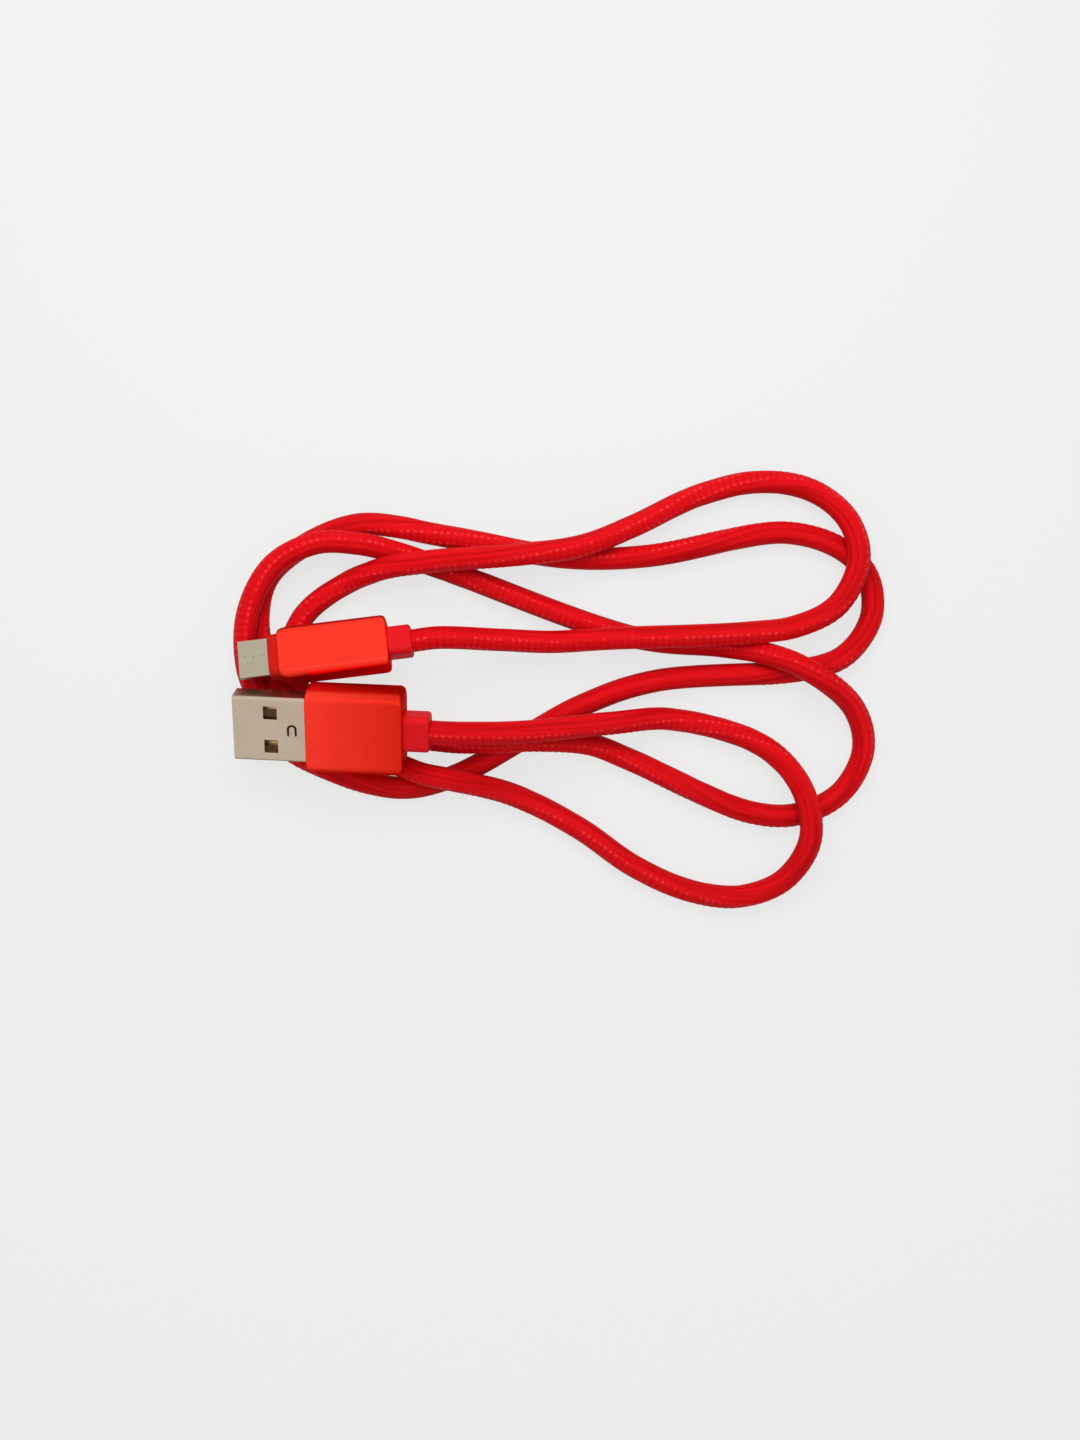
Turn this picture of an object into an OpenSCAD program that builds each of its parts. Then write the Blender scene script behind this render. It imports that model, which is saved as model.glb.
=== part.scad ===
// Braided charging cable: a USB-A plug, about one metre of round cord and a micro-USB plug.
// The cord lies in a loose bundle on the table, z = 0, and both plugs rest on it.
// Each plug is drawn along its own X axis, mouth towards -X, with x = 0 at the face that the
// cord leaves, and is then put in its place on the bundle.

/* [Cord] */
// Diameter over the braid
cord_d = 4; // [3.2:0.1:4]
// Straight stretch of cord behind each plug
cord_lead = 4.5; // [3:0.5:6]
// Number of sides of the cord's solid
cord_sides = 10; // [8:1:12]
// Diameter of one insulated wire
wire_d = 0.5; // [0.4:0.05:0.55]
// How far the wires lie from the cord's axis where they leave it
wire_spread = 0.75; // [0.6:0.05:1]

/* [Crimp ferrules] */
// Length of the ferrule that grips the cord inside a plug
ferrule_len = 2.6; // [1.5:0.1:3]
// Wall of the ferrule
ferrule_wall = 0.2; // [0.15:0.05:0.25]
// Bare cord in front of the ferrule
ferrule_lead = 0.6; // [0.3:0.1:1]

/* [Aluminium housings] */
// Wall of both housings
housing_wall = 0.6; // [0.5:0.05:0.7]
// Depth of the chamfer along the top and bottom edges of the housings' ends
housing_chamfer = 0.25; // [0.1:0.05:0.4]
// Corner radius of the housings, seen from above
housing_corner = 0.8; // [0.5:0.1:1.2]

/* [USB-A plug] */
// Width of the steel shell
a_shell_w = 12; // [11.8:0.1:12.1]
// Height of the steel shell
a_shell_h = 4.5; // [4.4:0.1:4.6]
// Sheet thickness of the shell
a_shell_wall = 0.3; // [0.25:0.05:0.35]
// Bend radius of the shell's long edges
a_shell_r = 0.6; // [0.45:0.05:0.8]
// Length of shell in front of the housing
a_shell_out = 12.9; // [12:0.1:13.5]
// Length of shell held in the housing
a_shell_in = 6; // [5:0.1:6.5]
// Side of the square spring windows
a_window = 2.4; // [2:0.1:2.6]
// Web of steel between the two windows of a face
a_window_web = 3.9; // [3.4:0.1:4.2]
// Distance of the windows from the mouth
a_window_back = 5.4; // [5:0.1:5.8]
// Width of the lanced tab
a_tab_w = 1.7; // [1.4:0.1:2]
// Length of the lanced tab across the shell
a_tab_len = 2.1; // [1.8:0.1:2.4]
// Width of the cut around the tab
a_tab_cut = 0.35; // [0.25:0.05:0.45]
// Distance of the tab from the mouth
a_tab_back = 9.5; // [9:0.1:10]
// Thickness of the plastic tongue
a_tongue_t = 1.9; // [1.7:0.1:2]
// Distance of the tongue from the mouth
a_tongue_back = 0.5; // [0.3:0.1:0.8]
// Length of the plastic block at the back of the shell
a_block_len = 3; // [2:0.1:4]
// Width of a contact strip
a_contact_w = 1; // [0.9:0.05:1.2]
// Thickness of a contact strip
a_contact_t = 0.3; // [0.2:0.05:0.35]
// Distance of the two inner contacts from the middle
a_contact_inner = 1; // [0.9:0.05:1.1]
// Distance of the two outer contacts from the middle
a_contact_outer = 3.5; // [3.4:0.05:3.6]
// Distance of the outer contacts from the mouth
a_contact_back = 1.2; // [1:0.1:1.6]
// How much further back the inner contacts start
a_contact_stagger = 1; // [0.5:0.1:1.2]
// Length of the solder tails behind the block
a_tail_len = 1.8; // [1.4:0.1:2]
// Width of the housing
a_housing_w = 15.4; // [15:0.1:16]
// Height of the housing
a_housing_h = 7.4; // [7.2:0.1:7.8]
// Length of the housing
a_housing_len = 16.9; // [16.5:0.1:17.8]
// Corner radius of the housing
a_housing_r = 2; // [1.6:0.1:2.4]
// Width of the collar
a_collar_w = 6.6; // [6.2:0.1:7.2]
// Height of the collar
a_collar_h = 5; // [4.9:0.1:5.6]
// Length of the collar
a_collar_len = 4.6; // [4.2:0.1:5.2]

/* [Micro-USB plug] */
// Width of the steel shell
m_shell_w = 6.85; // [6.8:0.05:6.9]
// Height of the steel shell
m_shell_h = 1.8; // [1.75:0.05:1.85]
// Width of the shell's narrow face
m_shell_narrow = 5.4; // [5.2:0.1:5.6]
// Height of the shell's upright sides
m_shell_side = 1; // [0.9:0.05:1.1]
// Sheet thickness of the shell
m_shell_wall = 0.25; // [0.2:0.05:0.25]
// Length of shell in front of the nose
m_shell_out = 5.3; // [5:0.1:5.8]
// Length of shell held behind the housing's front edge
m_shell_in = 5; // [4.6:0.1:5.6]
// Width of the nose at its front
m_nose_w = 7.7; // [7.4:0.1:7.9]
// Height of the nose at its front
m_nose_h = 4.2; // [4:0.1:4.5]
// Length of the nose in front of the housing
m_nose_len = 1.9; // [1.6:0.1:2.4]
// How far the housing's front edge stands out around the nose
m_nose_step = 0.8; // [0.6:0.05:0.9]
// Thickness of the plastic tongue
m_tongue_t = 0.6; // [0.55:0.01:0.62]
// Width of the plastic tongue
m_tongue_w = 3.3; // [3.2:0.05:3.4]
// Distance of the tongue from the mouth
m_tongue_back = 0.6; // [0.4:0.1:0.8]
// Length of the plastic block at the back of the shell
m_block_len = 3; // [2.4:0.1:3.2]
// Spacing of the five contacts
m_contact_step = 0.65; // [0.62:0.01:0.66]
// Width of a contact
m_contact_w = 0.35; // [0.3:0.01:0.38]
// Thickness of a contact
m_contact_t = 0.14; // [0.1:0.01:0.16]
// Length of a contact's free spring
m_spring_len = 4.6; // [4:0.1:5]
// Height of the bump at the tip of a contact
m_bump_h = 0.25; // [0.15:0.01:0.3]
// Length of that bump
m_bump_len = 0.8; // [0.6:0.05:1]
// Length of the solder tails behind the block
m_tail_len = 1.4; // [1.2:0.1:1.6]
// Width of a latch spring
m_latch_w = 0.5; // [0.4:0.02:0.54]
// Thickness of a latch spring
m_latch_t = 0.2; // [0.15:0.01:0.22]
// How far a latch hook stands out of the shell
m_hook_out = 0.35; // [0.25:0.01:0.4]
// Length of a latch hook
m_hook_len = 0.9; // [0.7:0.05:1]
// Distance of the latch hooks from the mouth
m_hook_back = 1.6; // [1.4:0.05:1.8]
// Width of the housing
m_housing_w = 9.5; // [9.3:0.1:10]
// Height of the housing
m_housing_h = 6.2; // [6.1:0.1:6.8]
// Length of the housing
m_housing_len = 19.3; // [18.8:0.1:19.8]
// Corner radius of the housing
m_housing_r = 1.4; // [1.1:0.1:1.7]
// Width of the collar
m_collar_w = 5.3; // [5:0.1:6]
// Height of the collar
m_collar_h = 4.8; // [4.7:0.1:5.4]
// Length of the collar
m_collar_len = 4.2; // [4:0.1:4.8]

/* [Collars] */
// Corner radius of both collars
collar_r = 1.2; // [0.8:0.1:1.5]
// How much narrower the collar is where it passes through the housing
collar_step = 0.3; // [0.2:0.05:0.4]

/* [Fits] */
// Gap around a piece that is pressed or moulded into another
fit = 0.05; // [0.03:0.01:0.08]
// Gap around a piece that moves
free = 0.1; // [0.08:0.01:0.12]

/* [Places on the table] */
// Turn of the USB-A plug about the vertical
a_yaw = -2.5; // [-4:0.5:-1]
// Rise of the USB-A plug towards its cord
a_pitch = 3; // [2:0.5:4]
// Roll of the USB-A plug about its own axis
a_roll = 22; // [20:0.5:24]
// Turn of the micro-USB plug about the vertical
m_yaw = 7; // [5:0.5:8]
// Rise of the micro-USB plug towards its cord
m_pitch = -0.5; // [-1:0.5:0]
// Roll of the micro-USB plug about its own axis
m_roll = -17; // [-19:0.5:-15]

/* [Hidden] */
$fn = 48;
cut = 1; // how far a cutting tool passes through a face

// Places of the two faces that the cord leaves
a_exit = [-23.1, -7.6, 11.8];
m_exit = [-26.5, 8.5, 9];

// Stations of the USB-A plug along its axis
a_back = -a_collar_len;
a_front = a_back - a_housing_len;
a_mouth = a_front - a_shell_out;
a_shell_back = a_front + a_shell_in;
a_block_front = a_shell_back - a_block_len;
a_tail_end = a_shell_back + a_tail_len;
a_floor = -a_shell_h / 2 + a_shell_wall;
a_contact_z = a_floor + a_tongue_t - a_contact_t / 2;
a_contact_ys = [a_contact_outer, a_contact_inner, -a_contact_inner, -a_contact_outer];

// Stations of the micro-USB plug along its axis
m_back = -m_collar_len;
m_front = m_back - m_housing_len;
m_nose_front = m_front - m_nose_len;
m_mouth = m_nose_front - m_shell_out;
m_shell_back = m_front + m_shell_in;
m_block_front = m_shell_back - m_block_len;
m_tail_end = m_shell_back + m_tail_len;
m_spring_front = m_mouth + m_tongue_back + free;
m_pivot = m_spring_front + m_spring_len;
m_floor = -m_shell_h / 2 + m_shell_wall;
m_contact_z = m_floor + m_tongue_t - m_contact_t - free;
m_latch_y = m_tongue_w / 2 + free + m_latch_w / 2;
m_wire_ys = [2 * m_contact_step, m_contact_step, 0, -2 * m_contact_step];

// What both plugs share
solder_d = wire_d * 0.95;
solder_len = 0.6;
mould_recess = 0.3;
spigot_len = 2;
chamber_wall = 0.8;
ferrule_bore = cord_d + 2 * fit;
ferrule_d = ferrule_bore + 2 * ferrule_wall;
wire_slack = wire_d / 2;

// Front face of the cord inside each plug, and the ferrule behind it
a_cord_front = a_back - housing_wall - ferrule_len - ferrule_lead;
m_cord_front = m_back - housing_wall - ferrule_len - ferrule_lead;

function heading(yaw, pitch) = [cos(yaw) * cos(pitch), sin(yaw) * cos(pitch), sin(pitch)];

// Route of the cord's centre line, from the micro-USB plug to the USB-A plug
route = concat(
    [m_exit, m_exit + cord_lead * heading(m_yaw, m_pitch)],
    [
        // out along the top of the bundle and over the first loop
        [-11, 8.8, 5.8], [-2, 8.5, 4.8], [8, 9, 6.3], [33, 10, 6.4], [42, 11.3, 5.2],
        [49.3, 15.2, 5.2], [52.8, 23, 6.2], [51.2, 30.2, 4.8], [45.3, 35.8, 2.2],
        [36, 37.5, 2], [25, 35.2, 2],
        // back to the left and round under both plugs
        [12.5, 29.2, 4], [2.5, 25.3, 6.3], [-24, 22.7, 6.3], [-32, 21.6, 5], [-40, 18.6, 2],
        [-46.7, 13.2, 2], [-49.7, 5.7, 2], [-47.5, -1, 2], [-40.5, -5.6, 2],
        // out again and round the second loop
        [-21, -9.3, 2.8], [-13, -9.4, 6], [-4, -9.1, 6], [5.1, -9.9, 3.2], [13, -13, 2],
        [33.9, -22.1, 2], [42.9, -22.4, 2], [50.7, -18.2, 2], [54.4, -10.5, 2],
        [52.3, -3.2, 3.4], [43.5, 3.5, 6.5], [37, 6.2, 5], [29, 7.8, 2],
        // the long diagonal to the left, over the strand below and round the plugs
        [13.2, 9.4, 2], [-20.7, 21.5, 2], [-30, 24.7, 2.3], [-36.5, 26, 5.4], [-44, 26, 6.2],
        [-51.6, 22, 6.2], [-56.1, 13.5, 5.8], [-56.4, 4, 5.3], [-54.8, -3, 4.9],
        [-51, -8.7, 4.2], [-45.4, -12.9, 2.4], [-30.1, -17.7, 2], [-19.9, -15.8, 2],
        // out and round the third loop
        [3.5, -2.9, 2], [16.6, 1.5, 2], [44.2, 3.7, 2], [51.2, 6.3, 2], [55.8, 13, 2],
        [55.3, 20, 2], [51, 25, 2],
        // back to the left, along the table
        [40.5, 28.3, 2], [15.4, 24.1, 2], [0, 23.9, 2], [-20.1, 27.5, 2], [-37.9, 29.6, 2],
        [-52.5, 21.1, 2], [-54.9, 12.5, 2], [-53.6, 3, 2], [-50.8, -3.6, 2],
        [-44.5, -8.7, 2], [-37, -10.8, 2],
        // out over the first strand, round the last loop and back to the USB-A plug
        [-28.7, -13.8, 3.9], [-25, -15.1, 5.8], [-20.5, -16, 6.4], [-9, -18.9, 3],
        [3, -25, 2], [13, -31.9, 2], [23, -36.3, 2], [32.5, -37.3, 2], [40, -34.2, 2.8],
        [44.2, -26.5, 6], [42.6, -17.5, 6], [36, -10.1, 2.8], [20, -5.4, 2.6], [8, -6.1, 7],
        [-7, -7.6, 10.8]
    ],
    [a_exit + cord_lead * heading(a_yaw, a_pitch), a_exit]
);

aluminium_colour = [0.95, 0.21, 0.14];
collar_colour = [0.84, 0.1, 0.13];
cord_colour = [0.84, 0.06, 0.09];
steel_colour = [0.78, 0.73, 0.65];
brass_colour = [0.85, 0.66, 0.3];
solder_colour = [0.7, 0.72, 0.74];
mould_colour = [0.62, 0.08, 0.06];

// ---- shapes that repeat ----

// Puts a plug in its place on the bundle
module in_usb_a() {
    translate(a_exit) rotate([0, 0, a_yaw]) rotate([0, -a_pitch, 0]) rotate([a_roll, 0, 0]) children();
}

module in_micro() {
    translate(m_exit) rotate([0, 0, m_yaw]) rotate([0, -m_pitch, 0]) rotate([m_roll, 0, 0]) children();
}

// A flat outline in the YZ plane, drawn out along X from x0 to x1
module along_x(x0, x1) {
    translate([x0, 0, 0]) rotate([90, 0, 90]) linear_extrude(x1 - x0) children();
}

module rounded(w, h, r) {
    square([w - 2 * r, h], center = true);
    square([w, h - 2 * r], center = true);
    for (sx = [-1, 1], sy = [-1, 1])
        translate([sx * (w / 2 - r), sy * (h / 2 - r)]) circle(r);
}

// A box from x0 to x1, centred on y and z
module bar(x0, x1, y, z, w, h) {
    translate([x0, y - w / 2, z - h / 2]) cube([x1 - x0, w, h]);
}

// A round rod between two points
module rod(p, q, d) {
    v = q - p;
    translate(p) rotate([0, acos(v.z / norm(v)), atan2(v.y, v.x)]) cylinder(d = d, h = norm(v));
}

// A rod along X
module round_along_x(x0, x1, d) {
    translate([x0, 0, 0]) rotate([0, 90, 0]) cylinder(d = d, h = x1 - x0);
}

// The side view of a bar from x0 to x1 with its four corners cut off
module chamfered_outline(x0, x1, w, c) {
    polygon([[x0 + c, -w / 2], [x1 - c, -w / 2], [x1, c - w / 2], [x1, w / 2 - c],
             [x1 - c, w / 2], [x0 + c, w / 2], [x0, w / 2 - c], [x0, c - w / 2]]);
}

// An aluminium housing: open in front, with a hole for the collar's spigot at the back
module housing(front, back, w, h, r, collar_w, collar_h) {
    inner_r = r - housing_wall + fit;
    difference() {
        intersection() {
            along_x(front, back) rounded(w, h, r);
            rotate([90, 0, 0])
                linear_extrude(w, center = true) chamfered_outline(front, back, h, housing_chamfer);
            translate([(front + back) / 2, 0])
                linear_extrude(h, center = true) rounded(back - front, w, housing_corner);
        }
        along_x(front - cut, back - housing_wall)
            rounded(w - 2 * housing_wall, h - 2 * housing_wall, inner_r);
        along_x(back - housing_wall - cut, back + cut)
            rounded(collar_w - collar_step + 2 * fit, collar_h - collar_step + 2 * fit, collar_r);
    }
}

// A collar: the block behind the housing, its spigot through the housing, and the cord's bore
module collar(back, w, h) {
    difference() {
        union() {
            along_x(back, 0) rounded(w, h, collar_r);
            along_x(back - housing_wall, back) rounded(w - collar_step, h - collar_step, collar_r);
        }
        round_along_x(back - housing_wall - cut, cut, cord_d + 2 * fit);
    }
}

module cord_end(front) {
    round_along_x(front, 0, cord_d);
}

module ferrule(front) {
    difference() {
        round_along_x(front + ferrule_lead, front + ferrule_lead + ferrule_len, ferrule_d);
        round_along_x(front, front + ferrule_lead + ferrule_len + cut, ferrule_bore);
    }
}

// Wire number i of a plug, from its solder joint to the cord
module wire(tail_end, cord_front, y, z, i) {
    around = 45 + 90 * i;
    rod([tail_end + solder_len + wire_slack, y, z],
        [cord_front - wire_slack, wire_spread * sin(around), wire_spread * cos(around)], wire_d);
}

// ---- USB-A plug ----

module a_shell_section(grow = 0) {
    rounded(a_shell_w + 2 * grow, a_shell_h + 2 * grow, a_shell_r + grow);
}

module a_shell_inside(gap = 0) {
    rounded(a_shell_w - 2 * a_shell_wall - 2 * gap, a_shell_h - 2 * a_shell_wall - 2 * gap,
            a_shell_r - a_shell_wall);
}

// The arch-shaped cut that leaves the lanced tab
module a_tab_outline() {
    difference() {
        union() {
            circle(d = a_tab_w);
            translate([-a_tab_w / 2, a_tab_w / 2 - a_tab_len]) square([a_tab_w, a_tab_len - a_tab_w / 2]);
        }
        circle(d = a_tab_w - 2 * a_tab_cut);
        translate([-a_tab_w / 2 + a_tab_cut, -a_tab_len])
            square([a_tab_w - 2 * a_tab_cut, a_tab_len]);
    }
}

module usb_a_shell() {
    window_x = a_mouth + a_window_back + a_window / 2;
    window_y = (a_window_web + a_window) / 2;
    color(steel_colour) in_usb_a() difference() {
        along_x(a_mouth, a_shell_back) a_shell_section();
        along_x(a_mouth - cut, a_shell_back + cut) a_shell_inside();
        for (y = [-window_y, window_y])
            translate([window_x, y, 0]) cube([a_window, a_window, a_shell_h + cut], center = true);
        translate([a_mouth + a_tab_back + a_tab_w / 2, a_tab_len / 2 - a_tab_w / 2, 0])
            linear_extrude(a_shell_h) a_tab_outline();
    }
}

module usb_a_tongue() {
    width = a_shell_w - 2 * a_shell_wall - 2 * fit;
    color([0.13, 0.12, 0.12]) in_usb_a() difference() {
        union() {
            intersection() {
                along_x(a_mouth + a_tongue_back, a_block_front) a_shell_inside(fit);
                bar(a_mouth, a_shell_back, 0, a_floor + a_tongue_t / 2 + fit / 2, width, a_tongue_t - fit);
            }
            along_x(a_block_front, a_shell_back) a_shell_inside(fit);
        }
        for (y = a_contact_ys)
            bar(a_mouth, a_shell_back + cut, y, a_contact_z,
                a_contact_w + 2 * fit, a_contact_t + 2 * fit);
    }
}

module usb_a_contact(i) {
    y = a_contact_ys[i];
    start = a_mouth + a_contact_back + (abs(y) == a_contact_inner ? a_contact_stagger : 0);
    color(brass_colour) in_usb_a() bar(start, a_tail_end, y, a_contact_z, a_contact_w, a_contact_t);
}

module usb_a_contact_vbus() { usb_a_contact(0); }
module usb_a_contact_minus() { usb_a_contact(1); }
module usb_a_contact_plus() { usb_a_contact(2); }
module usb_a_contact_ground() { usb_a_contact(3); }

module usb_a_solder() {
    color(solder_colour) in_usb_a() for (y = a_contact_ys)
        translate([0, y, a_contact_z]) round_along_x(a_tail_end, a_tail_end + solder_len, solder_d);
}

module usb_a_wire(i) {
    in_usb_a() wire(a_tail_end, a_cord_front, a_contact_ys[i], a_contact_z, i);
}

module usb_a_wire_red() { color("red") usb_a_wire(0); }
module usb_a_wire_white() { color("white") usb_a_wire(1); }
module usb_a_wire_green() { color("green") usb_a_wire(2); }
module usb_a_wire_black() { color([0.1, 0.1, 0.1]) usb_a_wire(3); }

module usb_a_ferrule() {
    color(brass_colour) in_usb_a() ferrule(a_cord_front);
}

module usb_a_inner_mould() {
    back = a_back - housing_wall - fit;
    w = a_housing_w - 2 * housing_wall - 2 * fit;
    h = a_housing_h - 2 * housing_wall - 2 * fit;
    color(mould_colour) in_usb_a() difference() {
        along_x(a_front + mould_recess, back) rounded(w, h, a_housing_r - housing_wall);
        along_x(a_front, a_shell_back + fit) a_shell_section(fit);
        bar(a_shell_back, a_cord_front, 0, 0, w - 2 * chamber_wall, h - 2 * chamber_wall);
        round_along_x(a_cord_front - cut, back + cut, ferrule_d + 2 * fit);
    }
}

module usb_a_housing() {
    color(aluminium_colour) in_usb_a()
        housing(a_front, a_back, a_housing_w, a_housing_h, a_housing_r, a_collar_w, a_collar_h);
}

module usb_a_collar() {
    color(collar_colour) in_usb_a() collar(a_back, a_collar_w, a_collar_h);
}

module usb_a_cord_end() {
    color(cord_colour) in_usb_a() cord_end(a_cord_front);
}

// ---- cord ----

function unit(v) = v / norm(v);

// Direction of the route at point i, halfway between the stretches that meet there
function route_dir(i) = unit(
    (i > 0 ? unit(route[i] - route[i - 1]) : [0, 0, 0])
    + (i < len(route) - 1 ? unit(route[i + 1] - route[i]) : [0, 0, 0]));

// The ring of the cord's surface around point i of the route
function route_ring(i) =
    let (ahead = route_dir(i), side = unit(cross([0, 0, 1], ahead)), top = cross(ahead, side))
    [for (k = [0 : cord_sides - 1])
        let (a = 360 * (k + 0.5) / cord_sides - 90)
        route[i] + cord_d / 2 * (cos(a) * side + sin(a) * top)];

module cord() {
    n = cord_sides;
    last = len(route) - 1;
    rings = [for (i = [0 : last]) each route_ring(i)];
    walls = [for (i = [0 : last - 1], k = [0 : n - 1])
        let (a = i * n + k, b = i * n + (k + 1) % n)
        each [[a, b + n, b], [a, a + n, b + n]]];
    color(cord_colour) polyhedron(rings, concat(
        [[for (k = [0 : n - 1]) k]], walls, [[for (k = [n - 1 : -1 : 0]) last * n + k]]));
}

// ---- micro-USB plug ----

// The shell's outline, wide face up; grow moves every side out by the same amount
module m_shell_section(grow = 0) {
    slope = atan2((m_shell_w - m_shell_narrow) / 2, m_shell_h - m_shell_side);
    half_wide = m_shell_w / 2 + grow;
    half_narrow = m_shell_narrow / 2 + grow * tan(45 - slope / 2);
    top = m_shell_h / 2 + grow;
    corner = m_shell_h / 2 - m_shell_side - grow * tan(slope / 2);
    polygon([[-half_wide, top], [half_wide, top], [half_wide, corner], [half_narrow, -top],
             [-half_narrow, -top], [-half_wide, corner]]);
}

module micro_shell() {
    window_len = m_hook_len + 3 * free;
    color(steel_colour) in_micro() difference() {
        along_x(m_mouth, m_shell_back) m_shell_section();
        along_x(m_mouth - cut, m_shell_back + cut) m_shell_section(-m_shell_wall);
        for (side = [-1, 1])
            bar(m_mouth + m_hook_back - free, m_mouth + m_hook_back - free + window_len,
                side * m_latch_y, -m_shell_h / 2, m_latch_w + 2 * free, 2 * m_shell_wall + 2 * fit);
    }
}

module micro_tongue() {
    color([0.13, 0.12, 0.12]) in_micro() difference() {
        union() {
            bar(m_mouth + m_tongue_back, m_block_front, 0, m_floor + m_tongue_t / 2 + fit / 2,
                m_tongue_w, m_tongue_t - fit);
            along_x(m_block_front, m_shell_back) m_shell_section(-m_shell_wall - fit);
        }
        for (i = [-2 : 2])
            bar(m_mouth, m_pivot, i * m_contact_step, m_contact_z,
                m_contact_w + 2 * fit, 2 * (m_contact_z - m_floor) - 2 * free);
        for (i = [-2 : 2])
            bar(m_pivot - fit, m_shell_back + cut, i * m_contact_step, m_contact_z,
                m_contact_w + 2 * fit, m_contact_t + 2 * fit);
    }
}

// The springy front of contact number i, 0 in the middle
module micro_contact(i) {
    color(brass_colour) in_micro() {
        bar(m_spring_front, m_pivot, i * m_contact_step, m_contact_z, m_contact_w, m_contact_t);
        bar(m_spring_front, m_spring_front + m_bump_len, i * m_contact_step,
            m_contact_z + m_contact_t / 2 + m_bump_h / 2, m_contact_w, m_bump_h);
    }
}

module micro_contact_vbus() { micro_contact(2); }
module micro_contact_minus() { micro_contact(1); }
module micro_contact_plus() { micro_contact(0); }
module micro_contact_id() { micro_contact(-1); }
module micro_contact_ground() { micro_contact(-2); }

module micro_contact_tails() {
    color(brass_colour) in_micro() for (i = [-2 : 2])
        bar(m_pivot + fit, m_tail_end, i * m_contact_step, m_contact_z, m_contact_w, m_contact_t);
}

module micro_solder() {
    color(solder_colour) in_micro() for (y = m_wire_ys)
        translate([0, y, m_contact_z]) round_along_x(m_tail_end, m_tail_end + solder_len, solder_d);
}

module micro_wire(i) {
    in_micro() wire(m_tail_end, m_cord_front, m_wire_ys[i], m_contact_z, i);
}

module micro_wire_red() { color("red") micro_wire(0); }
module micro_wire_white() { color("white") micro_wire(1); }
module micro_wire_green() { color("green") micro_wire(2); }
module micro_wire_black() { color([0.1, 0.1, 0.1]) micro_wire(3); }

// A latch: a leaf spring along the shell's floor, with a hook at its tip
module micro_latch(side) {
    leaf_z = m_floor + free + m_latch_t / 2;
    hook_low = -m_shell_h / 2 - m_hook_out;
    color(steel_colour) in_micro() {
        bar(m_mouth + m_hook_back, m_block_front - free, side * m_latch_y, leaf_z, m_latch_w, m_latch_t);
        bar(m_mouth + m_hook_back, m_mouth + m_hook_back + m_hook_len, side * m_latch_y,
            (hook_low + leaf_z) / 2, m_latch_w, leaf_z - hook_low);
    }
}

module micro_latch_left() { micro_latch(1); }
module micro_latch_right() { micro_latch(-1); }

module micro_nose() {
    inner_w = m_housing_w - 2 * housing_wall - 2 * fit;
    inner_h = m_housing_h - 2 * housing_wall - 2 * fit;
    skin = 0.1;
    color(mould_colour) in_micro() difference() {
        union() {
            hull() {
                along_x(m_nose_front, m_nose_front + skin) rounded(m_nose_w, m_nose_h, collar_r, $fn = 32);
                along_x(m_front - skin, m_front)
                    rounded(m_housing_w - 2 * m_nose_step, m_housing_h - 2 * m_nose_step,
                            collar_r, $fn = 32);
            }
            along_x(m_front, m_front + spigot_len) rounded(inner_w, inner_h, m_housing_r - housing_wall);
        }
        along_x(m_nose_front - cut, m_front + spigot_len + cut) m_shell_section(fit);
    }
}

module micro_inner_mould() {
    front = m_front + spigot_len + fit;
    back = m_back - housing_wall - fit;
    w = m_housing_w - 2 * housing_wall - 2 * fit;
    h = m_housing_h - 2 * housing_wall - 2 * fit;
    color(mould_colour) in_micro() difference() {
        along_x(front, back) rounded(w, h, m_housing_r - housing_wall);
        along_x(front - cut, m_shell_back + fit) m_shell_section(fit);
        bar(m_shell_back, m_cord_front, 0, 0, w - 2 * chamber_wall, h - 2 * chamber_wall);
        round_along_x(m_cord_front - cut, back + cut, ferrule_d + 2 * fit);
    }
}

module micro_ferrule() {
    color(brass_colour) in_micro() ferrule(m_cord_front);
}

module micro_housing() {
    color(aluminium_colour) in_micro()
        housing(m_front, m_back, m_housing_w, m_housing_h, m_housing_r, m_collar_w, m_collar_h);
}

module micro_collar() {
    color(collar_colour) in_micro() collar(m_back, m_collar_w, m_collar_h);
}

module micro_cord_end() {
    color(cord_colour) in_micro() cord_end(m_cord_front);
}

usb_a_shell();
usb_a_tongue();
usb_a_contact_vbus();
usb_a_contact_minus();
usb_a_contact_plus();
usb_a_contact_ground();
usb_a_solder();
usb_a_wire_red();
usb_a_wire_white();
usb_a_wire_green();
usb_a_wire_black();
usb_a_ferrule();
usb_a_inner_mould();
usb_a_housing();
usb_a_collar();
usb_a_cord_end();
cord();
micro_cord_end();
micro_collar();
micro_housing();
micro_nose();
micro_inner_mould();
micro_ferrule();
micro_wire_red();
micro_wire_white();
micro_wire_green();
micro_wire_black();
micro_solder();
micro_contact_tails();
micro_contact_vbus();
micro_contact_minus();
micro_contact_plus();
micro_contact_id();
micro_contact_ground();
micro_tongue();
micro_latch_left();
micro_latch_right();
micro_shell();
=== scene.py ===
import math

import bmesh
import bpy
import numpy as np
from mathutils import Matrix, Vector


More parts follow.
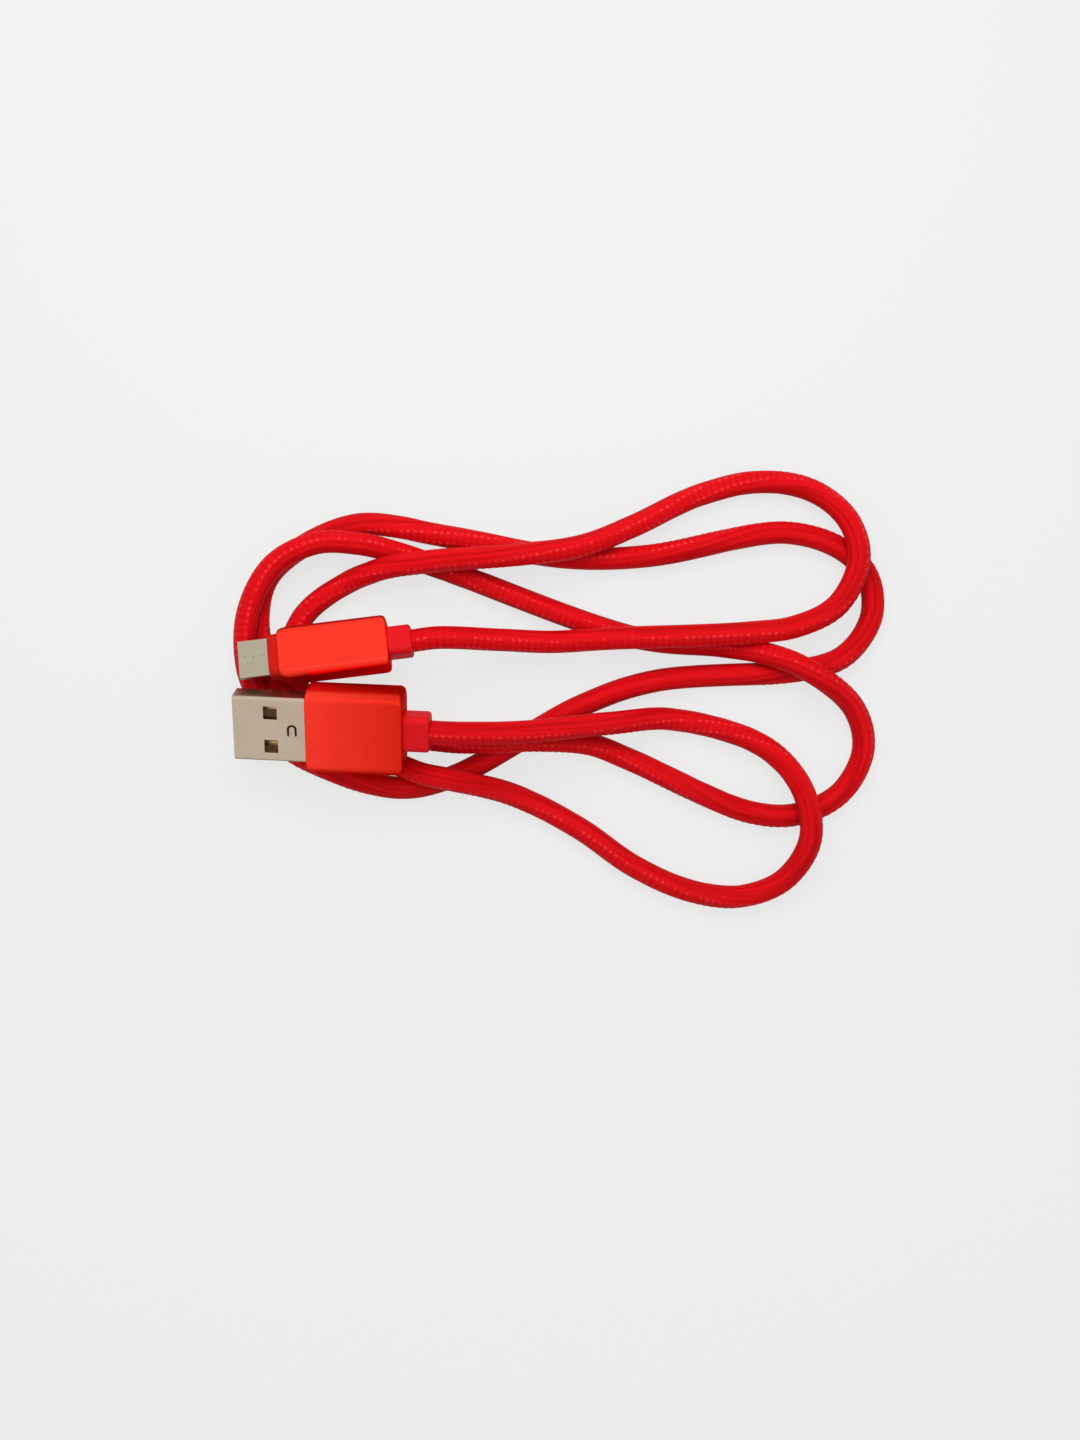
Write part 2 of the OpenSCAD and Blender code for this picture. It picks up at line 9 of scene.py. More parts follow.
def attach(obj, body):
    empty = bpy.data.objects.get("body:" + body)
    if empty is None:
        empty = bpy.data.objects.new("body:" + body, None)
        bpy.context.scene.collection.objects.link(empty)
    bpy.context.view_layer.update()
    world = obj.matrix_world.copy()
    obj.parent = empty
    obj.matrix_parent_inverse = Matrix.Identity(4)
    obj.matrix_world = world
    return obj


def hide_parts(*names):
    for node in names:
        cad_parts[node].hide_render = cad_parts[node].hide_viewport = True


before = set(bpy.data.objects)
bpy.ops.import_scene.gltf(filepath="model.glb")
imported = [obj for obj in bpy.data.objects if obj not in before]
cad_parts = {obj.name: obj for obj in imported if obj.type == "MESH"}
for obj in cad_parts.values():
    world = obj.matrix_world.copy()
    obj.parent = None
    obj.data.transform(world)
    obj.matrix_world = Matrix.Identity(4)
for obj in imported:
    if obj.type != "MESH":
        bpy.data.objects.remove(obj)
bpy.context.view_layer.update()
print("frame loaded:", len(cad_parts), "nodes")

# camera: straight down over the middle of the bundle

cameraLook = {
    "place": (-0.004, -0.0055, 0.3),
    "opening": 36.25,  # degrees across the width of the frame
}


def makeCamera(look):
    data = bpy.data.cameras.new("camera")
    data.sensor_fit = "HORIZONTAL"
    data.angle = math.radians(look["opening"])
    data.clip_start = 0.01
    camera = bpy.data.objects.new("camera", data)
    camera.location = look["place"]
    bpy.context.scene.collection.objects.link(camera)
    bpy.context.scene.camera = camera


makeCamera(cameraLook)
bpy.context.scene.view_settings.view_transform = "Standard"
print("camera made")

# shader groups: what more than one finish uses

socketKinds = {"value": "NodeSocketFloat", "vector": "NodeSocketVector"}
noiseRange = (0.3, 0.7)  # the values of a noise that give a finish its smoothest and its roughest


def addNode(tree, kind, values=(), **settings):
    node = tree.nodes.new(kind)
    for key, value in settings.items():
        setattr(node, key, value)
    for key, value in dict(values).items():
        if isinstance(value, bpy.types.NodeSocket):
            tree.links.new(value, node.inputs[key])
        else:
            node.inputs[key].default_value = value
    return node


def maths(tree, operation, *terms):
    return addNode(tree, "ShaderNodeMath", enumerate(terms), operation=operation).outputs[0]


def remap(tree, value, low, high, newLow=0, newHigh=1):
    values = {0: value, 1: low, 2: high, 3: newLow, 4: newHigh}
    return addNode(tree, "ShaderNodeMapRange", values).outputs[0]


def mixColour(tree, amount, first, second):
    colours = {6: first, 7: second}  # the mix node's two colour sockets
    values = {key: c if isinstance(c, bpy.types.NodeSocket) else (*c, 1) for key, c in colours.items()}
    values[0] = amount
    return addNode(tree, "ShaderNodeMix", values, data_type="RGBA").outputs[2]


def mixValue(tree, amount, first, second):
    return addNode(tree, "ShaderNodeMix", {0: amount, 2: first, 3: second}).outputs[0]


def newGroup(name, inputs, outputs):
    group = bpy.data.node_groups.new(name, "ShaderNodeTree")
    for label, kind, start in inputs:
        socket = group.interface.new_socket(label, in_out="INPUT", socket_type=socketKinds[kind])
        socket.default_value = start
    for label in outputs:
        group.interface.new_socket(label, in_out="OUTPUT", socket_type=socketKinds["value"])
    return group, group.nodes.new("NodeGroupInput").outputs, group.nodes.new("NodeGroupOutput").inputs


def noise(tree, scale, detail=2, distortion=0, vector=None):
    if vector is None:
        vector = addNode(tree, "ShaderNodeTexCoord").outputs["Object"]
    values = {"Vector": vector, "Scale": scale, "Detail": detail, "Distortion": distortion}
    return addNode(tree, "ShaderNodeTexNoise", values).outputs[0]


def makeGrain():  # fine even speckle, as on blasted metal or a sparked mould
    group, given, result = newGroup("fine grain", [("Scale", "value", 9000)], ["Value"])
    group.links.new(noise(group, given["Scale"]), result["Value"])
    return group


def makeSmudges():  # wide soft patches where fingers have been
    inputs = [("Scale", "value", 220), ("Contrast", "value", 0.15)]
    group, given, result = newGroup("smudges", inputs, ["Mask"])
    patches = noise(group, given["Scale"], detail=3, distortion=0.6)
    low = maths(group, "SUBTRACT", 0.5, given["Contrast"])
    high = maths(group, "ADD", 0.5, given["Contrast"])
    group.links.new(remap(group, patches, low, high), result["Mask"])
    return group


def makeEdgeWear():  # outer edges, a little broken up
    inputs = [("Start", "value", 0.51), ("Spread", "value", 0.06), ("Breakup", "value", 1500)]
    group, given, result = newGroup("edge wear", inputs, ["Mask"])
    shape = addNode(group, "ShaderNodeNewGeometry").outputs["Pointiness"]
    end = maths(group, "ADD", given["Start"], given["Spread"])
    edge = remap(group, shape, given["Start"], end)
    breakup = remap(group, noise(group, given["Breakup"]), low=0.35, high=0.6, newLow=0.35)
    group.links.new(maths(group, "MULTIPLY", edge, breakup), result["Mask"])
    return group


def makeStreaks():  # fine drawn lines that run one way
    inputs = [("Along", "vector", (1, 0, 0)), ("Scale", "value", 6000), ("Squeeze", "value", 0.97)]
    group, given, result = newGroup("drawn streaks", inputs, ["Value"])
    place = addNode(group, "ShaderNodeTexCoord").outputs["Object"]
    along = given["Along"]
    share = addNode(group, "ShaderNodeVectorMath", {0: place, 1: along}, operation="DOT_PRODUCT")
    taken = maths(group, "MULTIPLY", share.outputs["Value"], given["Squeeze"])
    part = addNode(group, "ShaderNodeVectorMath", {0: along, "Scale": taken}, operation="SCALE")
    rest = addNode(group, "ShaderNodeVectorMath", {0: place, 1: part.outputs[0]}, operation="SUBTRACT")
    lines = noise(group, given["Scale"], detail=3, vector=rest.outputs[0])
    group.links.new(lines, result["Value"])
    return group


def makeWeave():  # two sets of threads that cross and pass over and under each other
    inputs = [("Across", "value", 0), ("Along", "value", 0), ("Threads", "value", 32)]
    group, given, result = newGroup("braid weave", inputs, ["Height", "Over"])
    across = maths(group, "MULTIPLY", given["Across"], given["Threads"])
    along = maths(group, "MULTIPLY", given["Along"], given["Threads"])
    leaning = [maths(group, "ADD", across, along), maths(group, "SUBTRACT", across, along)]
    waves = [maths(group, "SINE", maths(group, "MULTIPLY", lean, math.pi)) for lean in leaning]
    rounds = [maths(group, "SQRT", maths(group, "ABSOLUTE", wave)) for wave in waves]
    over = maths(group, "GREATER_THAN", maths(group, "MULTIPLY", *waves), 0)
    under = maths(group, "SUBTRACT", 1, over)
    first = maths(group, "MULTIPLY", rounds[0], over)
    second = maths(group, "MULTIPLY", rounds[1], under)
    group.links.new(maths(group, "ADD", first, second), result["Height"])
    group.links.new(over, result["Over"])
    return group


def makeCreases():  # thin lines that run along the cord and wander a little round it
    inputs = [("Across", "value", 0), ("Along", "value", 0), ("Lines", "value", 9), ("Wander", "value", 0.3)]
    group, given, result = newGroup("long creases", inputs, ["Mask"])
    across = maths(group, "MULTIPLY", given["Across"], given["Lines"])
    along = maths(group, "MULTIPLY", given["Along"], given["Wander"])
    vector = addNode(group, "ShaderNodeCombineXYZ", {0: across, 1: along}).outputs[0]
    height = noise(group, 1, detail=1, vector=vector)
    away = maths(group, "ABSOLUTE", maths(group, "SUBTRACT", height, 0.5))
    group.links.new(remap(group, away, low=0.09, high=0), result["Mask"])
    return group


grain = makeGrain()
smudges = makeSmudges()
edgeWear = makeEdgeWear()
streaks = makeStreaks()
weave = makeWeave()
creases = makeCreases()


def place(tree, group, **values):
    return addNode(tree, "ShaderNodeGroup", values, node_tree=group).outputs


def newMaterial(name, **fixed):
    material = bpy.data.materials.new(name)
    material.use_nodes = True
    tree = material.node_tree
    shader = tree.nodes["Principled BSDF"]
    for key, value in fixed.items():
        shader.inputs[key.replace("_", " ")].default_value = value
    return material, tree, shader


def connect(tree, shader, **sockets):
    for key, socket in sockets.items():
        tree.links.new(socket, shader.inputs[key.replace("_", " ")])


def bump(tree, height, distance, strength):
    values = {"Height": height, "Distance": distance, "Strength": strength}
    return addNode(tree, "ShaderNodeBump", values).outputs[0]


print("shader groups made")

# small helpers for meshes


def addObject(name, mesh):
    thing = bpy.data.objects.new(name, mesh)
    bpy.context.scene.collection.objects.link(thing)
    return thing


def meshFrom(name, points, faces, sharpAngle=40):
    mesh = bpy.data.meshes.new(name)
    mesh.from_pydata([tuple(p) for p in points], [], faces)
    work = bmesh.new()
    work.from_mesh(mesh)
    bmesh.ops.recalc_face_normals(work, faces=work.faces)
    work.to_mesh(mesh)
    work.free()
    mesh.shade_smooth()
    mesh.set_sharp_from_angle(angle=math.radians(sharpAngle))
    return mesh


def finishPiece(piece, body, slot, material, *nodes):
    piece.data.materials.clear()
    piece.data.materials.append(material)
    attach(piece, body)
    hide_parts(*nodes)
    return piece


# where the two plugs lie: the face that the cord leaves, and how the plug is turned

usbPlug = {"exit": (-0.0231, -0.0076, 0.0118), "yaw": -2.5, "pitch": 3, "roll": 22}
microPlug = {"exit": (-0.0265, 0.0085, 0.009), "yaw": 7, "pitch": -0.5, "roll": -17}


def plugPlace(plug):
    yaw = Matrix.Rotation(math.radians(plug["yaw"]), 4, "Z")
    pitch = Matrix.Rotation(math.radians(-plug["pitch"]), 4, "Y")
    roll = Matrix.Rotation(math.radians(plug["roll"]), 4, "X")
    return Matrix.Translation(plug["exit"]) @ yaw @ pitch @ roll


def heading(plug):
    return (plugPlace(plug).to_3x3() @ Vector((1, 0, 0))).normalized()


def plugBox(plug, node):  # a node's corners along the plug's own axes
    back = plugPlace(plug).inverted()
    own = np.array([back @ v.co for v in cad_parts[node].data.vertices])
    return Vector(own.min(0)), Vector(own.max(0))


# the cord: a woven sleeve with one ribbed band between two rows of stitches

cordLook = {
    "length": 0.942,
    "diameter": 0.004,
    "lead": 0.0045,  # the straight stretch where it leaves each plug
    "sleeveRadius": 0.00205,
    "stitchPitch": 0.0012,
    "stitchAngle": 27,  # degrees from the middle of the band to each row
    "stitchHalfWidth": 7,
    "stitchHeight": 0.00007,
    "stitchBias": 0.25,  # above 0 the stitches fill more than half of their pitch
    "ribHeight": 0.000025,
    "bandDepth": 0.00002,
    "grooveAngle": 82,
    "grooveHalfWidth": 12,
    "grooveDepth": 0.00003,
    "ringsPerStitch": 5,
    "denseAngles": (5, 15, 21, 25, 29, 33, 38),  # on both sides of the band's middle
    "openAngles": (60, 82, 104, 130, 155),
    # distance along the cord in mm, and where round it the band's middle lies there:
    # 0 is the left of the way it runs, 90 is straight up, 180 is the right
    "bandTurns": (
        (0, 118), (20, 118), (35, 125), (60, 128), (70, 137), (82, 155), (100, 155), (106, 145), (114, 118),
        (122, 98), (130, 70), (142, 60), (152, 60), (164, 25), (180, 20), (192, 80), (205, 110), (240, 140),
        (265, 146), (276, 122), (288, 150), (300, 200), (316, 200), (328, 155), (342, 150), (352, 120),
        (365, 110), (390, 70), (410, 75), (422, 138), (435, 130), (448, 118), (460, 105), (480, 100),
        (505, 230), (575, 230), (592, 150), (612, 190), (632, 185), (641, 152), (648, 145), (656, 125),
        (672, 110), (690, 73), (700, 25), (730, -10), (745, 60), (770, 165), (785, 172), (796, 150),
        (803, 125), (826, 118), (836, 142), (846, 182), (858, 190), (866, 176), (874, 160), (883, 112),
        (892, 76), (900, 42), (912, 25), (925, 36), (942, 47),
    ),
    "turnEasing": 33,  # rings over which a change of turn is spread
    "threads": 30,
    # shares of the bright red that are left in the valleys and between the threads, as painted shade, and in
    # dull patches
    "valleyShade": 0.6,
    "threadShade": 0.84,
    "cloudShade": 0.92,
    "valleyRelief": 0.25,  # the relief at which a valley ends
    # share of the painted shade in the creases
    "creaseShadeShare": 0.55,
    "creaseStart": (0.1, 0.13),  # shares of a turn from the band's middle between which creases set in
    "stitchRelief": (0.45, 0.95),  # the relief at which the painted highlight on the stitches sets in and is full
    "highlightShare": (0.04, 0.5),  # how much of the painted highlight the stitches take, at least and at most
    "threadRise": 0.4,  # how high the threads stand against the depth of a crease
    "rough": (0.42, 0.52),  # of the two sets of threads
    "bright": (0.72, 0.005, 0.0095),
    # the red of the painted shade in the valleys and between the threads
    "dark": (0.36, 0.001, 0.0015),
    # the pale red of the painted highlight on the stitches
    "stitchHighlight": (0.95, 0.075, 0.08),
    # the red of the painted shade in the creases
    "creaseShade": (0.40, 0.0015, 0.002),
}

cordRoute = [
    # out along the top of the bundle and over the first loop
    (-0.011, 0.0088, 0.0058), (-0.002, 0.0085, 0.0048), (0.008, 0.009, 0.0063), (0.033, 0.01, 0.0064),
    (0.042, 0.0113, 0.0052), (0.0493, 0.0152, 0.0052), (0.0528, 0.023, 0.0062), (0.0512, 0.0302, 0.0048),
    (0.0453, 0.0358, 0.0022), (0.036, 0.0375, 0.002), (0.025, 0.0352, 0.002),
    # back to the left and round under both plugs
    (0.0125, 0.0292, 0.004), (0.0025, 0.0253, 0.0063), (-0.024, 0.0227, 0.0063), (-0.032, 0.0216, 0.005),
    (-0.04, 0.0186, 0.002), (-0.0467, 0.0132, 0.002), (-0.0492, 0.0057, 0.002), (-0.0468, -0.0009, 0.002),
    (-0.0405, -0.0056, 0.002),
    # out again and round the second loop
    (-0.021, -0.0093, 0.0028), (-0.013, -0.0094, 0.006), (-0.004, -0.0091, 0.006), (0.0051, -0.0099, 0.0032),
    (0.013, -0.013, 0.002), (0.0339, -0.0221, 0.002), (0.0429, -0.0224, 0.002), (0.0507, -0.0182, 0.002),
    (0.0544, -0.0105, 0.002), (0.0523, -0.0032, 0.0034), (0.0435, 0.0035, 0.0065), (0.037, 0.0062, 0.005),
    (0.029, 0.0078, 0.002),
    # the long diagonal to the left, over the strand below and round the plugs
    (0.0132, 0.0094, 0.002), (-0.0207, 0.0215, 0.002), (-0.03, 0.0247, 0.0023), (-0.0365, 0.026, 0.0054),
    (-0.044, 0.026, 0.0062), (-0.0516, 0.022, 0.0062), (-0.0561, 0.0135, 0.0058), (-0.0563, 0.004, 0.0053),
    (-0.0538, -0.0027, 0.0049), (-0.051, -0.0087, 0.0042), (-0.0454, -0.0129, 0.0024),
    (-0.0301, -0.0177, 0.002), (-0.0199, -0.0158, 0.002),
    # out and round the third loop
    (0.0035, -0.0029, 0.002), (0.0166, 0.0015, 0.002), (0.0442, 0.0037, 0.002), (0.0512, 0.0063, 0.002),
    (0.0558, 0.013, 0.002), (0.0553, 0.02, 0.002), (0.051, 0.025, 0.002),
    # back to the left, along the table
    (0.0405, 0.0283, 0.002), (0.0154, 0.0241, 0.002), (0, 0.0239, 0.002), (-0.0201, 0.0275, 0.002),
    (-0.0379, 0.0296, 0.002), (-0.0525, 0.0211, 0.002), (-0.0549, 0.0125, 0.002), (-0.0529, 0.003, 0.002),
    (-0.0497, -0.0034, 0.002), (-0.0445, -0.0087, 0.002), (-0.037, -0.0108, 0.002),
    # out over the first strand, round the last loop and back to the USB-A plug
    (-0.0287, -0.0138, 0.0039), (-0.025, -0.0151, 0.0058), (-0.0205, -0.016, 0.0064),
    (-0.009, -0.0189, 0.003), (0.003, -0.025, 0.002), (0.013, -0.0319, 0.002), (0.023, -0.0363, 0.002),
    (0.0325, -0.0373, 0.002), (0.04, -0.0342, 0.0028), (0.0442, -0.0265, 0.006), (0.0426, -0.0175, 0.006),
    (0.036, -0.0101, 0.0028), (0.02, -0.0054, 0.0026), (0.008, -0.0061, 0.007), (-0.007, -0.0076, 0.0108),
]


def throughPoints(points, perSpan=24):  # a smooth curve that passes through every point
    ends = [2 * points[0] - points[1], *points, 2 * points[-1] - points[-2]]
    curve = []
    for a, b, c, d in zip(ends, ends[1:], ends[2:], ends[3:]):
        tA = 0
        tB = tA + np.linalg.norm(b - a) ** 0.5
        tC = tB + np.linalg.norm(c - b) ** 0.5
        tD = tC + np.linalg.norm(d - c) ** 0.5
        t = np.linspace(tB, tC, perSpan, endpoint=False)[:, None]
        ab = ((tB - t) * a + (t - tA) * b) / (tB - tA)
        bc = ((tC - t) * b + (t - tB) * c) / (tC - tB)
        cd = ((tD - t) * c + (t - tC) * d) / (tD - tC)
        abc = ((tC - t) * ab + (t - tA) * bc) / (tC - tA)
        bcd = ((tD - t) * bc + (t - tB) * cd) / (tD - tB)
        curve.append(((tC - t) * abc + (t - tB) * bcd) / (tC - tB))
    return np.vstack([*curve, points[-1:]])


def evenly(curve, step, multiple):  # the same curve in equal steps, and how far along each point is
    along = np.concatenate([[0], np.cumsum(np.linalg.norm(np.diff(curve, axis=0), axis=1))])
    count = multiple * round(along[-1] / step / multiple)
    where = np.linspace(0, along[-1], count + 1)
    return np.column_stack([np.interp(where, along, axis) for axis in curve.T]), where


def cordCentres(look):
    leads = []
    for plug in (microPlug, usbPlug):
        start = Vector(plug["exit"])
        leads.append((start, start + heading(plug) * look["lead"]))
    points = np.array([*leads[0], *cordRoute, leads[1][1], leads[1][0]], dtype=float)
    step = look["stitchPitch"] / look["ringsPerStitch"]
    centres, where = evenly(throughPoints(points), step, look["ringsPerStitch"])
    centres[:, 2] = np.maximum(centres[:, 2], look["sleeveRadius"])  # no lower than lying on the table
    return centres, where


def bandTurn(look, where):  # degrees round the cord at which the band's middle lies
    mm, turns = zip(*look["bandTurns"])
    turn = np.interp(where * 1000, mm, turns)
    window = np.hanning(look["turnEasing"] + 2)[1:-1]
    padded = np.pad(turn, look["turnEasing"] // 2, mode="edge")
    return np.convolve(padded, window / window.sum(), mode="valid")


def cordProfile(look, phase):  # angles from the band's middle, and the height at each ring and angle
    dense = np.array(look["denseAngles"])
    sparse = np.array(look["openAngles"])
    angles = np.concatenate([-sparse[::-1], -dense[::-1], dense, sparse, [180]])
    wave = np.cos(phase)[:, None]
    fromRow = (np.abs(angles) - look["stitchAngle"]) / look["stitchHalfWidth"]
    bias = look["stitchBias"]
    swell = np.sqrt(np.clip(wave * (1 - bias) + bias, 0, 1))
    pearl = np.sqrt(np.clip(1 - fromRow**2, 0, 1))[None, :] * swell
    inBand = (np.abs(angles) < look["stitchAngle"] - look["stitchHalfWidth"])[None, :]
    fromGroove = (np.abs(angles) - look["grooveAngle"]) / look["grooveHalfWidth"]
    groove = np.clip(1 - fromGroove**2, 0, 1)[None, :]
    height = pearl * look["stitchHeight"] - groove * look["grooveDepth"]
    height = height + inBand * (np.clip(wave, 0, 1) * look["ribHeight"] - look["bandDepth"])
    return angles, height


def makeCord(look, material):
    centres, where = cordCentres(look)
    tangents = np.gradient(centres, axis=0)
    tangents /= np.linalg.norm(tangents, axis=1)[:, None]
    sides = np.cross([0, 0, 1], tangents)
    sides /= np.linalg.norm(sides, axis=1)[:, None]
    ups = np.cross(tangents, sides)
    pitch = look["ringsPerStitch"] * where[1]
    angles, height = cordProfile(look, where / pitch * 2 * math.pi)
    turned = np.radians(bandTurn(look, where)[:, None] + angles[None, :])
    radius = (look["sleeveRadius"] + height)[:, :, None]
    points = centres[:, None] + radius * (
        np.cos(turned)[:, :, None] * sides[:, None] + np.sin(turned)[:, :, None] * ups[:, None]
    )
    rings, around = height.shape
    start = np.arange(rings - 1)[:, None] * around
    here = np.arange(around)
    after = (here + 1) % around
    faces = np.stack([start + here, start + after, start + after + around, start + here + around], -1)
    caps = [list(range(around))[::-1], list(range((rings - 1) * around, rings * around))]
    mesh = bpy.data.meshes.new("braided_cord")
    mesh.from_pydata(points.reshape(-1, 3).tolist(), [], faces.reshape(-1, 4).tolist() + caps)
    mesh.shade_smooth()

    # braid coordinates: once round the cord is 1 across, and the same distance along is 1 too
    across = np.append(angles, angles[0] + 360) / 360
    upAlong = where / (2 * math.pi * look["sleeveRadius"])
    corners = np.zeros((rings - 1, around, 4, 2))
    corners[:, :, (0, 3), 0] = across[None, :-1, None]
    corners[:, :, (1, 2), 0] = across[None, 1:, None]
    corners[:, :, (0, 1), 1] = upAlong[:-1, None, None]
    corners[:, :, (2, 3), 1] = upAlong[1:, None, None]
    layer = mesh.uv_layers.new(name="braid")
    flat = np.concatenate([corners.ravel(), np.zeros(4 * around)])
    layer.data.foreach_set("uv", flat)

    # relief: 0 in the valleys, 1 on the stitches
    relief = mesh.attributes.new("relief", "FLOAT", "POINT")
    low, high = height.min(), height.max()
    relief.data.foreach_set("value", ((height - low) / (high - low)).ravel())
    mesh.validate()
    cord = addObject("braided_cord", mesh)
    return finishPiece(cord, "cable", "braid", material, "cord"), centres


def braidMaterial(look):
    material, tree, shader = newMaterial(
        "braid", Roughness=0.45, Specular_IOR_Level=0.12, Specular_Tint=(1, 0.3, 0.28, 1)
    )
    uv = addNode(tree, "ShaderNodeUVMap", uv_map="braid").outputs[0]
    split = addNode(tree, "ShaderNodeSeparateXYZ", {0: uv}).outputs
    threads = place(tree, weave, Across=split[0], Along=split[1], Threads=look["threads"])
    relief = addNode(tree, "ShaderNodeAttribute", attribute_name="relief").outputs["Fac"]
    folds = place(tree, creases, Across=split[0], Along=split[1])["Mask"]
    outside = remap(tree, maths(tree, "ABSOLUTE", split[0]), *look["creaseStart"])
    folds = maths(tree, "MULTIPLY", folds, outside)
    cloudy = place(tree, smudges, Scale=300)["Mask"]
    # painted shade: darker in the valleys of the relief and between the threads; duller in random patches
    depth = remap(tree, relief, 0, look["valleyRelief"], look["valleyShade"], 1)
    shade = maths(tree, "MULTIPLY", depth, remap(tree, threads["Height"], 0, 1, look["threadShade"], 1))
    shade = maths(tree, "MULTIPLY", shade, remap(tree, cloudy, 0, 1, look["cloudShade"], 1))
    colour = mixColour(tree, shade, look["dark"], look["bright"])
    # painted shade in the long creases, which the bump also sinks
    colour = mixColour(tree, maths(tree, "MULTIPLY", folds, look["creaseShadeShare"]), colour, look["creaseShade"])
    # painted highlight on the stitches, stronger in random patches
    patches = place(tree, smudges, Scale=420, Contrast=0.08)["Mask"]
    highlightShare = remap(tree, patches, 0, 1, *look["highlightShare"])
    stitchHighlight = maths(tree, "MULTIPLY", remap(tree, relief, *look["stitchRelief"]), highlightShare)
    colour = mixColour(tree, stitchHighlight, colour, look["stitchHighlight"])
    roughness = remap(tree, threads["Over"], 0, 1, *look["rough"])
    rise = maths(tree, "MULTIPLY", threads["Height"], look["threadRise"])
    height = maths(tree, "SUBTRACT", rise, folds)
    normal = bump(tree, height, distance=0.00003, strength=0.7)
    connect(tree, shader, Base_Color=colour, Roughness=roughness, Normal=normal)
    return material


braid = braidMaterial(cordLook)
cord, cordMiddle = makeCord(cordLook, braid)
print("cord made:", len(cord.data.polygons), "faces")

# rings that a shell is lofted through: rounded rectangles across the plug


def roundedRing(x, halfY, halfZ, radius, steps=8):
    radius = min(radius, halfY, halfZ)
    ring = []
    for quarter, (signY, signZ) in enumerate(((1, 1), (-1, 1), (-1, -1), (1, -1))):
        for step in range(steps + 1):
            turn = math.pi / 2 * (quarter + step / steps)
            y = signY * (halfY - radius) + radius * math.cos(turn)
            z = signZ * (halfZ - radius) + radius * math.sin(turn)
            ring.append((x, y, z))
    return ring


def roundRing(x, radius, like):  # a circle with a point for each point of another ring
    ring = []
    for _, y, z in like:
        turn = math.atan2(z, y)
        ring.append((x, radius * math.cos(turn), radius * math.sin(turn)))
    return ring


def softened(depth, length, width=None):  # how far a rounded edge has drawn in, at a depth below the face
    if depth >= length:
        return 0
    return (width or length) * (1 - math.sqrt(1 - (1 - depth / length) ** 2))


def softRings(front, back, halfY, halfZ, corner, frontSoft, backSoft, steps=6):
    # each soft triple is the plan corner's length and width and the radius of the upper and lower edges
    rings = []
    for x0, way, (length, width, edge) in ((front, 1, frontSoft), (back, -1, backSoft)):
        shares = [1 - math.cos(math.pi / 2 * k / steps) for k in range(steps + 1)]
        depths = {r * share for r in (length, edge) for share in shares}
        part = []
        for depth in sorted(depths):
            y = halfY - softened(depth, length, width)
            z = halfZ - softened(depth, edge)
            part.append(roundedRing(x0 + way * depth, y, z, corner))
        rings += part if way > 0 else part[::-1]
    return rings


def loft(name, plug, rings, closed=True):
    around = len(rings[0])
    points = [p for ring in rings for p in ring]
    faces = []
    last = len(rings) if closed else len(rings) - 1
    for row in range(last):
        lower = row * around
        upper = (row + 1) % len(rings) * around
        for here in range(around):
            after = (here + 1) % around
            faces.append((lower + here, lower + after, upper + after, upper + here))
    if not closed:
        faces.append(tuple(range(around))[::-1])
        faces.append(tuple(range((len(rings) - 1) * around, len(rings) * around)))
    mesh = meshFrom(name, points, faces)
    mesh.transform(plugPlace(plug))
    piece = addObject(name, mesh)
    weighted = piece.modifiers.new("even shading", "WEIGHTED_NORMAL")
    weighted.keep_sharp = True
    return piece


# anodised aluminium housings

aluminiumLook = {
    "colour": (0.93, 0.042, 0.024),
    "worn": (1.0, 0.16, 0.09),
    "handled": (0.84, 0.03, 0.016),
    # the red of that painted shade
    "shadedRed": (0.64, 0.013, 0.005),
    "wornShare": 0.35,
    "handledShare": 0.3,
    # where along x the painted shade towards the cord starts and ends, and its share at the end
    "usbShadeRamp": (-0.0445, -0.0275, 0.85),
    "microShadeRamp": (-0.05, -0.03, 0.05),
    "smooth": 0.33,
    "rough": 0.43,
}


def aluminiumMaterial(name, look, shadeRamp):
    material, tree, shader = newMaterial(name, Metallic=1, Specular_Tint=(1, 0.2, 0.15, 1))
    blasted = place(tree, grain, Scale=9000)["Value"]
    handled = place(tree, smudges, Scale=160, Contrast=0.2)["Mask"]
    worn = place(tree, edgeWear, Start=0.515, Spread=0.08)["Mask"]
    start, end, share = shadeRamp
    where = addNode(tree, "ShaderNodeTexCoord").outputs["Object"]
    along = addNode(tree, "ShaderNodeSeparateXYZ", {0: where}).outputs[0]
    touched = maths(tree, "MULTIPLY", handled, look["handledShare"])
    colour = mixColour(tree, touched, look["colour"], look["handled"])
    # painted shade: the housing darker towards the cord end
    colour = mixColour(tree, remap(tree, along, start, end, 0, share), colour, look["shadedRed"])
    rubbed = maths(tree, "MULTIPLY", worn, look["wornShare"])
    colour = mixColour(tree, rubbed, colour, look["worn"])
    roughness = remap(tree, blasted, *noiseRange, look["smooth"], look["rough"])
    normal = bump(tree, blasted, distance=0.000004, strength=0.6)
    connect(tree, shader, Base_Color=colour, Roughness=roughness, Normal=normal)
    return material


usbAluminium = aluminiumMaterial("red_aluminium", aluminiumLook, aluminiumLook["usbShadeRamp"])
microAluminium = aluminiumMaterial("red_aluminium_small", aluminiumLook, aluminiumLook["microShadeRamp"])

usbHousingLook = {
    "corner": 0.002,
    "frontSoft": (0.0006, 0.0006, 0.0002),
    "backSoft": (0.0009, 0.0009, 0.0003),
    "wall": 0.0006,
    "innerCorner": 0.00145,
    "lap": 0.0001,  # the hole at the back is this much smaller than the collar on each side
}
microHousingLook = {
    "corner": 0.0014,
    "frontSoft": (0.0018, 0.00085, 0.00025),
    "backSoft": (0.0009, 0.0009, 0.0003),
    "wall": 0.0006,
    "innerCorner": 0.0012,
    "lap": 0.0001,
}


